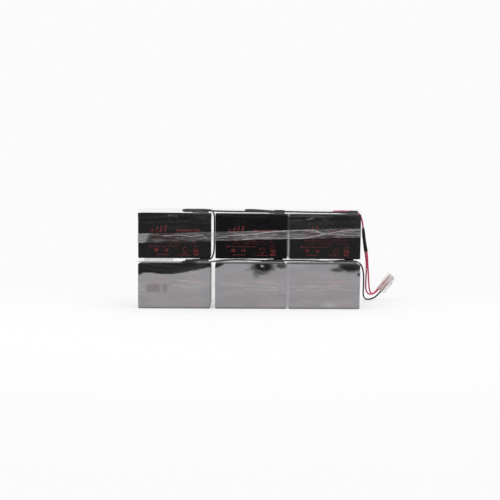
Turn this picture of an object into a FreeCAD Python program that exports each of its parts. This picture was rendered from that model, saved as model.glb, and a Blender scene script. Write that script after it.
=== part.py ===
"""UPS battery cartridge: six sealed lead-acid batteries in two rows of three.

Each row is held by a clear film sleeve and a band of clear tape. The batteries are wired in
series, and three leads end in one clear connector beside the right-hand end.

Frame: millimetres, +X to the right, the label faces look along -Y, +Z up. The origin is at the
middle of the footprint, on the surface that the cartridge stands on.
"""

import FreeCAD, Part
import Sketcher
import math
import os

from FreeCAD import Placement, Rotation, Vector

doc = FreeCAD.newDocument("BatteryCartridge")

# ---------------------------------------------------------------------------------------------
# Driving dimensions

SIZES = {
    # one battery
    "caseLength": 151.0,
    "caseDepth": 65.0,
    "caseHeight": 94.0,
    "cornerRadius": 4.0,
    "lidHeight": 9.0,
    "lidOverhang": 0.35,
    "lidEdgeRadius": 2.2,
    "baseEdgeRadius": 2.2,
    # the plate over the vent valves
    "ventLength": 104.0,
    "ventDepth": 34.0,
    "ventFromLeft": 66.0,
    "ventRecess": 1.2,
    "ventFit": 0.2,
    "notchLength": 3.0,
    "notchDepth": 1.4,
    # terminals, measured from the left end of the case and from its middle plane
    "terminalFromLeft": 139.0,
    "terminalOffset": 20.0,
    "wellRadius": 6.5,
    "wellDepth": 2.4,
    "sealHeight": 1.6,
    "bladeLength": 6.35,
    "bladeThickness": 0.8,
    "bladeHeight": 6.3,
    "bladeBevel": 1.1,
    "bladeHole": 1.7,
    "footLength": 9.0,
    # flag receptacle and its insulating boot
    "receptacleLength": 8.4,
    "receptacleDepth": 3.0,
    "receptacleBase": 0.9,
    "receptacleTop": 6.9,
    "barrelRadius": 2.2,
    "barrelLength": 7.8,
    "wireHeight": 3.8,
    "bootBack": 6.0,
    "bootFront": 13.0,
    "bootDepth": 7.2,
    "bootBase": 0.3,
    "bootTop": 7.8,
    "bootWall": 0.9,
    "neckLength": 14.0,
    "neckRadius": 3.0,
    "neckEndRadius": 2.6,
    # how the batteries stand
    "wideGap": 9.5,
    "narrowGap": 3.0,
    "rowGap": 11.5,
    # clear film sleeve and tape band
    "filmWall": 0.4,
    "filmLift": 1.0,
    "rimHeight": 10.5,
    "rimRadius": 4.0,
    "rimLip": 7.0,
    "notchWidth": 14.0,
    "notchDrop": 12.5,
    "upperNotchCentre": 9.0,
    "lowerNotchCentre": -0.5,
    "tapeWall": 0.3,
    "tapeWidth": 21.0,
    "upperTapeHeight": 154.0,
    "upperTapeSlope": 1.8,
    "lowerTapeHeight": 47.0,
    "lowerTapeSlope": 0.6,
    # spacer pads between the rows
    "padFromLeft": 8.0,
    "padLength": 61.0,
    "padFront": 2.0,
    "padDepth": 22.0,
    "padRadius": 2.0,
    # wires and leads
    "wireRadius": 1.7,
    # connector, along its own axis from the wire end
    "rearLength": 18.0,
    "rearWidth": 15.0,
    "rearDepth": 14.0,
    "housingLength": 45.0,
    "frontWidth": 18.0,
    "frontDepth": 16.0,
    "housingRadius": 1.6,
    "cavityPitch": 7.2,
    "contactBore": 2.3,
    "matingBore": 1.75,
    "wireDepth": 6.0,
    "crimpLength": 9.0,
    "crimpRadius": 1.9,
    "pinRadius": 1.3,
    "pinEnd": 42.0,
    "latchWidth": 8.0,
    "latchThickness": 1.5,
    "latchGap": 2.0,
    "latchStart": 1.0,
    "latchEnd": 34.0,
    "latchRoot": 19.0,
    "latchRootLength": 4.0,
}

COLUMNS = ("left", "middle", "right")
ROWS = ("lower", "upper")
POLES = {"negative": -1, "positive": 1}  # the side of the middle plane, along Y

sheet = doc.addObject("Spreadsheet::Sheet", "Sizes")
for number, (name, value) in enumerate(SIZES.items(), start=1):
    sheet.set(f"A{number}", name)
    sheet.set(f"B{number}", str(value))
    sheet.setAlias(f"B{number}", name)
doc.recompute()


def size(name):
    """A driving dimension, read from the sheet."""
    return float(sheet.get(name))


ROW_LENGTH = 3 * size("caseLength") + size("wideGap") + size("narrowGap")
LEFT_END = {
    "left": -ROW_LENGTH / 2,
    "middle": -ROW_LENGTH / 2 + size("caseLength") + size("wideGap"),
    "right": ROW_LENGTH / 2 - size("caseLength"),
}
BASE = {"lower": 0.0, "upper": size("caseHeight") + size("rowGap")}
LID_TOP = {row: BASE[row] + size("caseHeight") for row in ROWS}

parts = []


# ---------------------------------------------------------------------------------------------
# Helpers


def finished(made, label, place=None):
    """Marks an object as one sub-part: its label is the node's name, and it gets its place."""
    made.Label = label
    if place is not None:
        made.Placement = place
    parts.append(made)
    return made


def at(x, y, z, rotation=None):
    return Placement(Vector(x, y, z), rotation or Rotation())


def bind(made, **expressions):
    for name, expression in expressions.items():
        made.setExpression(name, expression)
    return made


def new_body(name):
    return doc.addObject("PartDesign::Body", name)


def new_sketch(body, role, offset=None):
    """A sketch on one of the body's own origin planes, lifted along its normal by offset."""
    sketch = body.newObject("Sketcher::SketchObject", body.Name + "Sketch")
    plane = next(f for f in body.Origin.OriginFeatures if f.Role == role)
    sketch.AttachmentSupport = [(plane, "")]
    sketch.MapMode = "FlatFace"
    if offset:
        sketch.setExpression("AttachmentOffset.Base.z", offset)
    return sketch


def limit(sketch, kind, *where, expression):
    """Adds a dimension to the sketch and ties it to an expression of the sheet."""
    index = sketch.addConstraint(Sketcher.Constraint(kind, *where, 1.0))
    sketch.setExpression(f"Constraints[{index}]", expression)
    return index


def rectangle(sketch, length, depth, x_middle=0.0, y_middle=0.0):
    """A rectangle about a fixed middle point, with its two sides tied to the sheet."""
    half_x, half_y = 5.0, 4.0
    corners = [
        Vector(x_middle + sx * half_x, y_middle + sy * half_y, 0)
        for sx, sy in ((-1, -1), (1, -1), (1, 1), (-1, 1))
    ]
    lines = [
        sketch.addGeometry(Part.LineSegment(corners[i], corners[(i + 1) % 4]), False)
        for i in range(4)
    ]
    middle = sketch.addGeometry(Part.Point(Vector(x_middle, y_middle, 0)), True)
    for i in range(4):
        sketch.addConstraint(Sketcher.Constraint("Coincident", lines[i], 2, lines[(i + 1) % 4], 1))
    for i, kind in enumerate(("Horizontal", "Vertical") * 2):
        sketch.addConstraint(Sketcher.Constraint(kind, lines[i]))
    sketch.addConstraint(Sketcher.Constraint("Symmetric", lines[0], 1, lines[1], 2, middle, 1))
    sketch.addConstraint(Sketcher.Constraint("DistanceX", -1, 1, middle, 1, x_middle))
    sketch.addConstraint(Sketcher.Constraint("DistanceY", -1, 1, middle, 1, y_middle))
    limit(sketch, "DistanceX", lines[0], 1, lines[0], 2, expression=length)
    limit(sketch, "DistanceY", lines[1], 1, lines[1], 2, expression=depth)
    return lines


def circle(sketch, radius, x_middle=0.0, y_middle=0.0):
    """A circle about a fixed middle point, with its radius tied to the sheet."""
    made = sketch.addGeometry(Part.Circle(Vector(x_middle, y_middle, 0), Vector(0, 0, 1), 3.0))
    if x_middle or y_middle:
        sketch.addConstraint(Sketcher.Constraint("DistanceX", -1, 1, made, 3, x_middle))
        sketch.addConstraint(Sketcher.Constraint("DistanceY", -1, 1, made, 3, y_middle))
    else:
        sketch.addConstraint(Sketcher.Constraint("Coincident", made, 3, -1, 1))
    limit(sketch, "Radius", made, expression=radius)
    return made


def pad(body, sketch, length):
    made = body.newObject("PartDesign::Pad", body.Name + "Pad")
    made.Profile = sketch
    made.setExpression("Length", length)
    body.Tip = made
    return made


def pocket(body, sketch, depth=None, forwards=False):
    """Cuts the sketch against its plane's normal, or along it where forwards is set."""
    doc.recompute()
    before = body.Tip.Shape.Volume
    made = body.newObject("PartDesign::Pocket", body.Name + "Pocket")
    made.Profile = sketch
    made.Reversed = forwards
    if depth:
        made.setExpression("Length", depth)
    else:
        made.Type = "ThroughAll"
    body.Tip = made
    doc.recompute()
    if made.Shape.Volume > before - 0.01:
        raise RuntimeError(f"{made.Name} cuts nothing")
    return made


def dress(body, kind, wanted, **expressions):
    """Fillets or chamfers the edges of the body's last feature that the test picks out."""
    doc.recompute()
    base = body.Tip
    names = [f"Edge{i}" for i, edge in enumerate(base.Shape.Edges, start=1) if wanted(edge)]
    made = body.newObject(f"PartDesign::{kind}", body.Name + kind)
    made.Base = (base, names)
    bind(made, **expressions)
    body.Tip = made
    doc.recompute()
    return made


def fillet(body, radius, wanted):
    return dress(body, "Fillet", wanted, Radius=radius)


def upright(edge):
    box = edge.BoundBox
    return box.ZLength > 1 and box.XLength < 0.01 and box.YLength < 0.01


def level_at(height):
    """A test for edges that lie in the plane at this height of the body."""
    return lambda edge: edge.BoundBox.ZLength < 0.01 and abs(edge.BoundBox.ZMin - height) < 0.01


def rounded_block(body, length, depth, height, radius):
    """A block about the body's Z axis with round upright edges."""
    sketch = new_sketch(body, "XY_Plane")
    rectangle(sketch, length, depth)
    pad(body, sketch, height)
    fillet(body, radius, upright)
    return body


def tube(route, radius):
    """A round tube along straight runs joined by tangent arcs, with each arc's radius set by its
    two runs. Returns the solid, its length and the smallest radius of its arcs."""
    points = [Vector(*p) for p in route]
    edges, start, radii = [], points[0], []
    for before, corner, after in zip(points, points[1:], points[2:]):
        back, ahead = before - corner, after - corner
        run = min(back.Length, ahead.Length)
        half_turn = (math.pi - back.getAngle(ahead)) / 2
        cut = 0.45 * run
        radii.append(cut / math.tan(half_turn))
        back.normalize()
        ahead.normalize()
        first, last = corner + back * cut, corner + ahead * cut
        inward = (back + ahead).normalize()
        middle = corner + inward * (radii[-1] / math.cos(half_turn) - radii[-1])
        edges.append(Part.LineSegment(start, first).toShape())
        edges.append(Part.Arc(first, middle, last).toShape())
        start = last
    edges.append(Part.LineSegment(start, points[-1]).toShape())
    path = Part.Wire(edges)
    heading = points[1] - points[0]
    section = Part.Wire([Part.Circle(points[0], heading, radius).toShape()])
    solid = path.makePipeShell([section], True, False)
    return solid, path.Length, min(radii)


# ---------------------------------------------------------------------------------------------
# One battery: container, lid, vent cover, two terminals in their sealing compound


def container(label, place):
    body = new_body("Container")
    inset = "2 * Sizes.lidOverhang"
    rounded_block(
        body,
        f"Sizes.caseLength - {inset}",
        f"Sizes.caseDepth - {inset}",
        "Sizes.caseHeight - Sizes.lidHeight",
        "Sizes.cornerRadius",
    )
    fillet(body, "Sizes.baseEdgeRadius", level_at(0.0))
    return finished(body, label, place)


def lid(label, place):
    """The lid has a shallow recess for the vent cover and a round well for each terminal."""
    body = new_body("Lid")
    rounded_block(
        body, "Sizes.caseLength", "Sizes.caseDepth", "Sizes.lidHeight", "Sizes.cornerRadius"
    )
    fillet(body, "Sizes.lidEdgeRadius", level_at(size("lidHeight")))
    recess = new_sketch(body, "XY_Plane", "Sizes.lidHeight")
    rectangle(recess, "Sizes.ventLength", "Sizes.ventDepth", x_middle=VENT_MIDDLE)
    pocket(body, recess, "Sizes.ventRecess")
    wells = new_sketch(body, "XY_Plane", "Sizes.lidHeight")
    for side in POLES.values():
        circle(wells, "Sizes.wellRadius", TERMINAL_X, side * size("terminalOffset"))
    pocket(body, wells, "Sizes.wellDepth")
    return finished(body, label, place)


def vent_cover(label, place):
    """A flat plate over the six valves, with a pair of gas notches beside each valve."""
    body = new_body("VentCover")
    sketch = new_sketch(body, "XY_Plane")
    fit = "2 * Sizes.ventFit"
    rectangle(sketch, f"Sizes.ventLength - {fit}", f"Sizes.ventDepth - {fit}")
    pad(body, sketch, "Sizes.ventRecess")
    notches = new_sketch(body, "XY_Plane", "Sizes.ventRecess")
    first = -(VALVES - 1) / 2 * VALVE_PITCH
    for side in (-1, 1):
        edge = side * (size("ventDepth") / 2 - size("ventFit"))
        rectangle(notches, "Sizes.notchLength", "2 * Sizes.notchDepth", first, edge)
    cut = pocket(body, notches)
    row = body.newObject("PartDesign::LinearPattern", "Notches")
    row.Originals = [cut]
    row.Direction = (notches, ["H_Axis"])
    row.Length = (VALVES - 1) * VALVE_PITCH
    row.Occurrences = VALVES
    body.Tip = row
    return finished(body, label, place)


def terminal(label, place):
    """A tinned blade with a bevelled tip and a hole, standing on its foot in the well."""
    body = new_body("Terminal")
    blade = new_sketch(body, "XY_Plane")
    rectangle(blade, "Sizes.bladeLength", "Sizes.bladeThickness")
    pad(body, blade, "Sizes.wellDepth + Sizes.bladeHeight")
    at_tip = level_at(size("wellDepth") + size("bladeHeight"))
    tip_ends = lambda edge: at_tip(edge) and edge.BoundBox.XLength < 0.01
    dress(body, "Chamfer", tip_ends, Size="Sizes.bladeBevel")
    hole = new_sketch(body, "XZ_Plane", "Sizes.bladeThickness")
    circle(hole, "Sizes.bladeHole / 2", 0.0, size("wellDepth") + size("wireHeight"))
    pocket(body, hole)
    foot = new_sketch(body, "XY_Plane")
    rectangle(foot, "Sizes.footLength", "5 * Sizes.bladeThickness")
    pad(body, foot, "Sizes.bladeThickness")
    return finished(body, label, place)


def seal(blade, place):
    """The coloured compound that fills the foot of the well round one terminal."""
    fill = doc.addObject("Part::Cylinder", "SealFill")
    bind(fill, Radius="Sizes.wellRadius", Height="Sizes.sealHeight")
    fill.Placement = place
    made = doc.addObject("Part::Cut", "Seal")
    made.Base, made.Tool = fill, blade
    return made


VALVES = 6
VALVE_PITCH = 16.0
VENT_MIDDLE = size("ventFromLeft") - size("caseLength") / 2
TERMINAL_X = size("terminalFromLeft") - size("caseLength") / 2


def middle_of(column):
    return LEFT_END[column] + size("caseLength") / 2


seals = {pole: [] for pole in POLES}
for row in ROWS:
    for column in COLUMNS:
        spot, x = f"{row}_{column}", middle_of(column)
        lid_base = LID_TOP[row] - size("lidHeight")
        container(f"container_{spot}", at(x, 0, BASE[row]))
        lid(f"lid_{spot}", at(x, 0, lid_base))
        vent_cover(
            f"vent_cover_{spot}", at(x + VENT_MIDDLE, 0, LID_TOP[row] - size("ventRecess"))
        )
        for pole, side in POLES.items():
            y, z = side * size("terminalOffset"), LID_TOP[row] - size("wellDepth")
            place = at(x + TERMINAL_X, y, z)
            blade = terminal(f"{pole}_terminal_{spot}", place)
            seals[pole].append(seal(blade, place))


def group(label, members):
    """Like pieces of one kind in one node, each its own solid."""
    made = doc.addObject("Part::Compound", "Group")
    made.Links = members
    return finished(made, label)


for pole in POLES:
    group(f"{pole}_terminal_seals", seals[pole])


# ---------------------------------------------------------------------------------------------
# Flag receptacles and insulating boots, about the terminal's axis at the lid's top


def receptacle(place):
    """A flag receptacle on its blade, with the crimp barrel pointing to the left."""
    shell = bind(
        doc.addObject("Part::Box", "ReceptacleShell"),
        Length="Sizes.receptacleLength",
        Width="Sizes.receptacleDepth",
        Height="Sizes.receptacleTop - Sizes.receptacleBase",
    )
    left = -size("receptacleLength") / 2
    shell.Placement = place * at(left, -size("receptacleDepth") / 2, size("receptacleBase"))
    barrel = bind(
        doc.addObject("Part::Cylinder", "ReceptacleBarrel"),
        Radius="Sizes.barrelRadius",
        Height="Sizes.barrelLength",
    )
    along = Rotation(Vector(0, 1, 0), -90)
    barrel.Placement = place * at(left, 0, size("wireHeight"), along)
    whole = doc.addObject("Part::Fuse", "ReceptacleForm")
    whole.Base, whole.Tool = shell, barrel
    slot = bind(
        doc.addObject("Part::Box", "ReceptacleSlot"),
        Length="Sizes.bladeLength",
        Width="Sizes.bladeThickness",
        Height="Sizes.bladeHeight",
    )
    slot.Placement = place * at(-size("bladeLength") / 2, -size("bladeThickness") / 2, 0)
    made = doc.addObject("Part::Cut", "Receptacle")
    made.Base, made.Tool = whole, slot
    return made


def boot(place):
    """A soft boot over the receptacle: open below for the blade, with a tapered neck for the
    wire."""
    body = new_body("Boot")
    main = new_sketch(body, "XY_Plane", "Sizes.bootBase")
    rectangle(main, "Sizes.bootBack + Sizes.bootFront", "Sizes.bootDepth", BOOT_MIDDLE)
    pad(body, main, "Sizes.bootTop - Sizes.bootBase")
    fillet(body, "Sizes.bootWall", upright)
    fillet(body, "Sizes.bootWall", level_at(size("bootTop")))
    neck = new_sketch(body, "YZ_Plane", "-Sizes.bootFront")
    circle(neck, "Sizes.neckRadius", 0.0, size("wireHeight"))
    out = pad(body, neck, "Sizes.neckLength")
    out.Reversed = True
    out.TaperAngle = -math.degrees(
        math.atan((size("neckRadius") - size("neckEndRadius")) / size("neckLength"))
    )
    doc.recompute()
    inside = new_sketch(body, "XY_Plane", "Sizes.bootBase")
    wall = "2 * Sizes.bootWall"
    rectangle(
        inside,
        f"Sizes.bootBack + Sizes.bootFront - {wall}",
        f"Sizes.bootDepth - {wall}",
        BOOT_MIDDLE,
    )
    pocket(body, inside, "Sizes.receptacleTop - Sizes.bootBase", forwards=True)
    bore = new_sketch(body, "YZ_Plane", "-Sizes.bootFront + 2 * Sizes.bootWall")
    circle(bore, "Sizes.barrelRadius", 0.0, size("wireHeight"))
    pocket(body, bore)
    body.Placement = place
    return body


BOOT_MIDDLE = (size("bootBack") - size("bootFront")) / 2

for row in ROWS:
    seats = [
        at(middle_of(column) + TERMINAL_X, side * size("terminalOffset"), LID_TOP[row])
        for column in COLUMNS
        for side in POLES.values()
    ]
    group(f"flag_receptacles_{row}", [receptacle(seat) for seat in seats])
    group(f"terminal_boots_{row}", [boot(seat) for seat in seats])


# ---------------------------------------------------------------------------------------------
# Film sleeves, tape bands and spacer pads


def film_form(wall, top):
    """A block about the row with round upright edges and a round top rim. The wall is added all
    round, and the rim's radius shrinks as the wall does."""
    body = new_body("FilmForm")
    row_length = "3 * Sizes.caseLength + Sizes.wideGap + Sizes.narrowGap"
    sketch = new_sketch(body, "XY_Plane", "Sizes.filmLift")
    rectangle(sketch, f"{row_length} + 2 * ({wall})", f"Sizes.caseDepth + 2 * ({wall})")
    pad(body, sketch, f"{top} - Sizes.filmLift")
    fillet(body, f"Sizes.cornerRadius + {wall}", upright)
    highest = body.Tip.Shape.BoundBox.ZMax
    fillet(body, f"Sizes.rimRadius - Sizes.filmWall + {wall}", level_at(highest))
    return body


def film_sleeve(label, place, notch_middle):
    """A thin open sleeve that covers the four sides, rises above the lids and curls inwards.
    A notch in its right-hand wall lets the lead out."""
    top = "Sizes.caseHeight + Sizes.rimHeight"
    outer = film_form("Sizes.filmWall", top)
    mouth = new_sketch(outer, "XY_Plane", top)
    lip = 2 * size("rimLip")
    rectangle(mouth, str(ROW_LENGTH - lip), f"Sizes.caseDepth - {lip}")
    pocket(outer, mouth, "2 * Sizes.filmWall")
    notch = new_sketch(outer, "YZ_Plane", "(3 * Sizes.caseLength) / 2 - Sizes.rimLip")
    rim = size("caseHeight") + size("rimHeight")
    rectangle(notch, "Sizes.notchWidth", "2 * Sizes.notchDrop", notch_middle, rim)
    pocket(outer, notch, forwards=True)
    inner = film_form("0 * Sizes.filmWall", f"{top} - Sizes.filmWall")
    sleeve = doc.addObject("Part::Cut", "FilmSleeve")
    sleeve.Base, sleeve.Tool = outer, inner
    return finished(sleeve, label, place)


def tape_band(label, height, slope):
    """A band of tape round the film, cut from a tall ring by a slab that leans a little."""
    rings = []
    for wall in ("Sizes.filmWall", "Sizes.filmWall + Sizes.tapeWall"):
        ring = new_body("TapeRing")
        rounded_block(
            ring,
            f"3 * Sizes.caseLength + Sizes.wideGap + Sizes.narrowGap + 2 * ({wall})",
            f"Sizes.caseDepth + 2 * ({wall})",
            "3 * Sizes.tapeWidth",
            f"Sizes.cornerRadius + {wall}",
        )
        ring.Placement = at(0, 0, height - 1.5 * size("tapeWidth"))
        rings.append(ring)
    tall = doc.addObject("Part::Cut", "TallRing")
    tall.Tool, tall.Base = rings
    slab = bind(
        doc.addObject("Part::Box", "TapeSlab"),
        Length="4 * Sizes.caseLength",
        Width="2 * Sizes.caseDepth",
        Height="Sizes.tapeWidth",
    )
    lean = Placement(Vector(0, 0, height), Rotation(Vector(0, 1, 0), -slope))
    corner = (-2 * size("caseLength"), -size("caseDepth"), -size("tapeWidth") / 2)
    slab.Placement = lean * at(*corner)
    band = doc.addObject("Part::Common", "TapeBand")
    band.Base, band.Tool = tall, slab
    return finished(band, label)


def spacer_pad(label, place):
    body = new_body("SpacerPad")
    rounded_block(body, "Sizes.padLength", "Sizes.padDepth", "Sizes.rowGap", "Sizes.padRadius")
    return finished(body, label, place)


for row in ROWS:
    film_sleeve(f"film_sleeve_{row}", at(0, 0, BASE[row]), size(f"{row}NotchCentre"))
    tape_band(f"tape_band_{row}", size(f"{row}TapeHeight"), size(f"{row}TapeSlope"))
for column in COLUMNS:
    x = LEFT_END[column] + size("padFromLeft") + size("padLength") / 2
    y = size("padFront") + size("padDepth") / 2
    spacer_pad(f"spacer_pad_{column}", at(x, y, LID_TOP["lower"]))


# ---------------------------------------------------------------------------------------------
# Wires. Each route starts and ends at a crimp barrel, on the barrel's own axis.


def crimp(row, column, pole):
    """The point on the barrel's end face where a wire starts."""
    reach = size("receptacleLength") / 2 + size("barrelLength")
    return (
        middle_of(column) + TERMINAL_X - reach,
        POLES[pole] * size("terminalOffset"),
        LID_TOP[row] + size("wireHeight"),
    )


def wire(label, route):
    solid, length, tightest = tube(route, size("wireRadius"))
    expected = math.pi * size("wireRadius") ** 2 * length
    made = doc.addObject("Part::Feature", "Wire")
    made.Shape = solid
    print(
        f"{label}: {length:.1f} mm long, smallest radius {tightest:.1f} mm,"
        f" volume {solid.Volume / expected:.4f} of its section times its length"
    )
    return finished(made, label)


def fold(x, start, end):
    """The four corners of a wide turn back on the left of x, between two (y, z) points."""
    side = (end[0] - start[0]) / (1 + math.sqrt(2))
    cut = side / math.sqrt(2)
    heights = [start[1] + (end[1] - start[1]) * share for share in (0, 0.3, 0.7, 1)]
    spots = [(0, start[0]), (abs(cut), start[0] + cut), (abs(cut), end[0] - cut), (0, end[0])]
    return [(x - left, y, z) for (left, y), z in zip(spots, heights)]


LINKS = {
    "link_upper_left_to_middle": [
        crimp("upper", "left", "positive"),
        *fold(-135, (20, 203.3), (3, 206.4)),
        (-112, 3.6, 206.2),
        (-86, 4.8, 204.6),
        (-64, 3, 203.8),
        (-40, -4, 203.5),
        (-14, -13, 203.4),
        (12, -18.6, 203.3),
        (34, -20, 203.3),
        crimp("upper", "middle", "negative"),
    ],
    "link_upper_middle_to_right": [
        crimp("upper", "middle", "positive"),
        (36, 20, 203.3),
        (16, 20, 204),
        *fold(-4, (20, 205.4), (3, 207.4)),
        (14, 2.6, 207),
        (36, 3.4, 205.4),
        (60, 3, 204.2),
        (84, 1, 203.8),
        (108, -6, 203.5),
        (136, -14, 203.4),
        (162, -18.8, 203.3),
        (186, -20, 203.3),
        crimp("upper", "right", "negative"),
    ],
    "link_lower_left_to_middle": [
        crimp("lower", "left", "negative"),
        *fold(-136, (-20, 97.8), (-4.5, 96.2)),
        (-110, -4.6, 96),
        (-84, -5.6, 96.2),
        (-62, -5.2, 99),
        (-36, -4.8, 100.8),
        (-10, -3.4, 100.8),
        (8, 4.6, 99.4),
        (23, 15.2, 97.9),
        (38, 20, 97.8),
        crimp("lower", "middle", "positive"),
    ],
    "link_lower_middle_to_right": [
        crimp("lower", "middle", "negative"),
        *fold(30, (-20, 97.8), (-4.5, 99)),
        (44, -5.4, 98.9),
        (60, -6.2, 99.4),
        (78, -6, 99.9),
        (98, -5.2, 100.2),
        (124, -4.8, 100),
        (148, -2.6, 99),
        (165, 5.8, 98),
        (178, 15.8, 97.9),
        (192, 20, 97.8),
        crimp("lower", "right", "positive"),
    ],
    "row_link_wire": [
        crimp("upper", "left", "negative"),
        *fold(-136, (-20, 203.3), (-4.5, 206.8)),
        (-112, -5.4, 206.9),
        (-92, -9.6, 207),
        (-77.4, -13.8, 205.2),
        (-74.2, -16.6, 192),
        (-74.1, -18.6, 168),
        (-74.1, -19.2, 140),
        (-75, -17.4, 118),
        (-79.8, -12.6, 103.4),
        (-91, -5.6, 101.4),
        (-104, 0.4, 100.8),
        (-118, 2.6, 99.8),
        *fold(-131, (3, 99), (20, 97.8)),
        crimp("lower", "left", "positive"),
    ],
}

SLEEVE_TOP = Vector(244.9, 10.0, 170.0)
SLEEVE_BOTTOM = Vector(254.1, 20.0, 118.6)
SLEEVE_HEADING = (SLEEVE_BOTTOM - SLEEVE_TOP).normalize()
SLEEVE_ACROSS = Vector(0, 1, 0).cross(SLEEVE_HEADING).normalize()
LEAD_SPACING = 3.6

CONNECTOR = Placement(Vector(305.0, 108.0, 22.5), Rotation(Vector(0, 1, 0), 40.5))


def splice(side, distance):
    """A point on a lead's axis, this far below the sleeve's lower end. Side is -1 or 1."""
    beside = SLEEVE_BOTTOM - SLEEVE_ACROSS * side * LEAD_SPACING / 2
    return tuple(beside + SLEEVE_HEADING * distance)


def cavity(across, along, depth):
    """A point on the axis of one cavity, this deep in the connector's rear face. Across and along
    are -1 or 1."""
    half = size("cavityPitch") / 2
    return tuple(CONNECTOR.multVec(Vector(across * half, along * half, depth)))


LEADS = {
    "positive_wire": [
        crimp("upper", "right", "positive"),
        (198.5, 20, 203.3),
        (190, 20, 203.35),
        (183, 17.4, 204),
        (179.2, 10.8, 205.2),
        (181, 3.2, 206.4),
        (188, -1.6, 206.9),
        (198, -2.4, 207),
        (210, 0, 207),
        (220, 4.4, 206.8),
        (229.4, 7.8, 205.4),
        (236.8, 8.6, 199.4),
        (240.6, 7.6, 190.6),
        tuple(SLEEVE_TOP - SLEEVE_HEADING * 10),
        tuple(SLEEVE_TOP),
    ],
    "red_lead_front": [
        splice(-1, 0),
        splice(-1, 11),
        (258, 31.5, 91.4),
        (260.7, 43.5, 70.3),
        (263, 58, 49.7),
        (265.6, 71.5, 33.6),
        (270.2, 83.5, 21.9),
        (278.2, 92.5, 15),
        (287.5, 99.5, 14.8),
        cavity(-1, -1, -9),
        cavity(-1, -1, size("wireDepth")),
    ],
    "red_lead_rear": [
        splice(1, 0),
        splice(1, 11),
        (261.1, 33.5, 92.4),
        (266.4, 50.5, 71.2),
        (271.4, 68, 50.8),
        (275.8, 84, 33.9),
        (280.4, 97, 22.4),
        (285.9, 105.3, 15.5),
        (290.6, 109.3, 14.8),
        cavity(-1, 1, -10),
        cavity(-1, 1, size("wireDepth")),
    ],
    "black_lead": [
        crimp("lower", "right", "negative"),
        (198.5, -20, 97.8),
        (190, -20, 97.85),
        (183.2, -17.2, 98.2),
        (179.4, -10.8, 98.8),
        (181, -3.4, 99.3),
        (187.6, 1.4, 99.6),
        (198, 2.4, 99.7),
        (211, 1.4, 99.6),
        (222, 0.2, 99.4),
        (231.5, -0.2, 97.6),
        (239.6, 1, 92.4),
        (244.6, 5.6, 83.6),
        (249.2, 16, 68.7),
        (252.7, 32, 51.3),
        (256.5, 51, 34.8),
        (259.7, 70, 20.1),
        (265.4, 87, 8.5),
        (272.5, 99.6, 2.4),
        (283.6, 104.2, 2),
        (293.9, 104.4, 6.2),
        cavity(1, -1, -8),
        cavity(1, -1, size("wireDepth")),
    ],
}

for label, route in (LINKS | LEADS).items():
    wire(label, route)


# ---------------------------------------------------------------------------------------------
# Heat-shrink sleeve over the splice: round over one wire above, oval over two below


def heat_shrink(label):
    along = SLEEVE_BOTTOM - SLEEVE_TOP
    normal = SLEEVE_HEADING.cross(SLEEVE_ACROSS)
    sections = []
    for share, half_width, half_depth, bow in SLEEVE_SECTIONS:
        middle = SLEEVE_TOP + along * share + SLEEVE_ACROSS * bow
        wide, deep = middle + SLEEVE_ACROSS * half_width, middle + normal * half_depth
        sections.append(Part.Wire([Part.Ellipse(wide, deep, middle).toShape()]))
    made = doc.addObject("Part::Feature", "HeatShrink")
    made.Shape = Part.makeLoft(sections, True)
    return finished(made, label)


# share of the way down, half width, half depth, bow towards the outside
SLEEVE_SECTIONS = [
    (0.0, 2.3, 2.2, 0.0),
    (0.12, 3.2, 2.9, 0.3),
    (0.45, 3.5, 3.0, 0.7),
    (0.8, 3.9, 2.9, 0.4),
    (1.0, 3.95, 2.6, 0.0),
]
heat_shrink("heat_shrink_sleeve")


# ---------------------------------------------------------------------------------------------
# Connector: clear housing with four cavities and a latch, and three crimped contacts. Its own
# axis is +Z, from the wires to the mating face, and the latch is on +X.

def cavities():
    half = size("cavityPitch") / 2
    return [(x, y) for x in (-half, half) for y in (-half, half)]


def housing(label):
    body = new_body("Housing")
    rounded_block(
        body, "Sizes.rearWidth", "Sizes.rearDepth", "Sizes.rearLength", "Sizes.housingRadius"
    )
    front = new_sketch(body, "XY_Plane", "Sizes.rearLength")
    rectangle(front, "Sizes.frontWidth", "Sizes.frontDepth")
    pad(body, front, "Sizes.housingLength - Sizes.rearLength")
    front_edges = lambda edge: upright(edge) and edge.BoundBox.ZMin > size("rearLength") - 0.01
    fillet(body, "Sizes.housingRadius", front_edges)

    latch_inner = size("frontWidth") / 2 + size("latchGap")
    root = new_sketch(body, "XY_Plane", "Sizes.latchRoot")
    root_middle = (size("frontWidth") / 2 + latch_inner) / 2
    rectangle(root, "Sizes.latchGap + 1", "Sizes.latchWidth", root_middle)
    pad(body, root, "Sizes.latchRootLength")
    arm = new_sketch(body, "XY_Plane", "Sizes.latchStart")
    arm_middle = latch_inner + size("latchThickness") / 2
    rectangle(arm, "Sizes.latchThickness", "Sizes.latchWidth", arm_middle)
    pad(body, arm, "Sizes.latchEnd - Sizes.latchStart")

    for radius, start in (
        ("Sizes.matingBore", "Sizes.housingLength"),
        ("Sizes.contactBore", "Sizes.pinEnd - 2 * Sizes.wireDepth"),
    ):
        bores = new_sketch(body, "XY_Plane", start)
        for x, y in cavities():
            circle(bores, radius, x, y)
        pocket(body, bores)
    return finished(body, label, CONNECTOR)


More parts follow.
